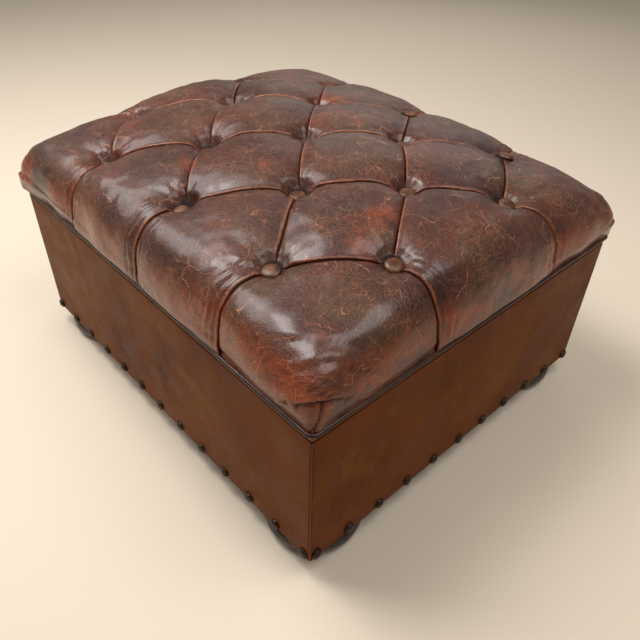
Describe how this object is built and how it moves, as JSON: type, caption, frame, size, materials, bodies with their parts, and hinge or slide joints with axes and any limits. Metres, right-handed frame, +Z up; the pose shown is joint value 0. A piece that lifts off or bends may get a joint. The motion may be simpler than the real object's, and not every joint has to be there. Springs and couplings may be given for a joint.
{
  "type": "storage ottoman",
  "caption": "Rectangular leather storage ottoman: deep buttoned domed lid hinged at the back, piped edge, smooth sides with nailhead trim, flattened bun feet.",
  "frame": {"origin": "centre of the footprint, on the floor under the glides", "axes": "+X along the long side, +Y towards the hinged back, +Z up; the front long side faces -Y"},
  "size_m": [0.858, 0.731, 0.4905],
  "materials": {
    "plywood": "birch plywood, sanded",
    "block_wood": "sawn softwood",
    "steel": "zinc plated",
    "hinge_brass": "antique brass",
    "wadding": "polyester wadding",
    "side_leather": "smooth waxed leather, mottled brown",
    "lid_leather": "distressed, crackled aniline leather",
    "welt_leather": "rolled leather piping",
    "button_leather": "leather covered button",
    "lining_cloth": "woven cotton lining",
    "dust_cloth": "black non-woven cambric",
    "foot_wood": "dark stained, satin",
    "glide_plastic": "nylon glide",
    "nail_bronze": "antique bronze, worn",
    "bumper_rubber": "felt faced rubber",
    "foam": "upholstery foam",
    "twine": "waxed tufting twine"
  },
  "bodies": {
    "box": {"panel_front": "plywood", "panel_back": "plywood", "panel_left": "plywood", "panel_right": "plywood", "base_board": "plywood", "corner_blocks": "block_wood", "frame_screws": "steel", "side_batting": "wadding", "leather_front": "side_leather", "leather_back": "side_leather", "leather_left": "side_leather", "leather_right": "side_leather", "lining_walls": "lining_cloth", "lining_floor": "lining_cloth", "dust_cover": "dust_cloth", "foot_front_left": "foot_wood", "foot_front_right": "foot_wood", "foot_back_left": "foot_wood", "foot_back_right": "foot_wood", "foot_glides": "glide_plastic", "foot_studs": "steel", "tee_nuts": "steel", "nails_front": "nail_bronze", "nails_back": "nail_bronze", "nails_left": "nail_bronze", "nails_right": "nail_bronze", "lid_bumpers": "bumper_rubber", "hinge_box_leaves": "hinge_brass", "hinge_pins": "hinge_brass", "hinge_box_screws": "hinge_brass", "stay_wall_plates": "steel", "stay_plate_screws": "steel"},
    "lid": {"lid_board": "plywood", "lid_foam": "foam", "lid_batting": "wadding", "lid_cover": "lid_leather", "lid_welt": "welt_leather", "lid_band": "lid_leather", "lid_lining": "lining_cloth", "tuft_buttons": "button_leather", "tuft_ties": "twine", "tie_washers": "steel", "hinge_lid_leaves": "hinge_brass", "hinge_lid_screws": "hinge_brass", "stay_lid_brackets": "steel", "stay_bracket_screws": "steel"},
    "stay_left": {"stay_arm_left": "steel"},
    "stay_right": {"stay_arm_right": "steel"}
  },
  "joints": [
    {"name": "lid_hinge", "type": "hinge", "parent": "box", "child": "lid", "pos_m": [0, 0.3615, 0.3195], "axis": [-1, 0, 0], "range_deg": [0, 95]},
    {"name": "stay_left_pivot", "type": "hinge", "parent": "lid", "child": "stay_left", "pos_m": [-0.38775, 0.2569, 0.31035], "axis": [-1, 0, 0], "range_deg": [-47.5, 0]},
    {"name": "stay_right_pivot", "type": "hinge", "parent": "lid", "child": "stay_right", "pos_m": [0.38775, 0.2569, 0.31035], "axis": [-1, 0, 0], "range_deg": [-47.5, 0]}
  ],
  "couplings": [
    {"joint": "stay_left_pivot", "follows": "lid_hinge", "ratio": -0.5},
    {"joint": "stay_right_pivot", "follows": "lid_hinge", "ratio": -0.5}
  ]
}
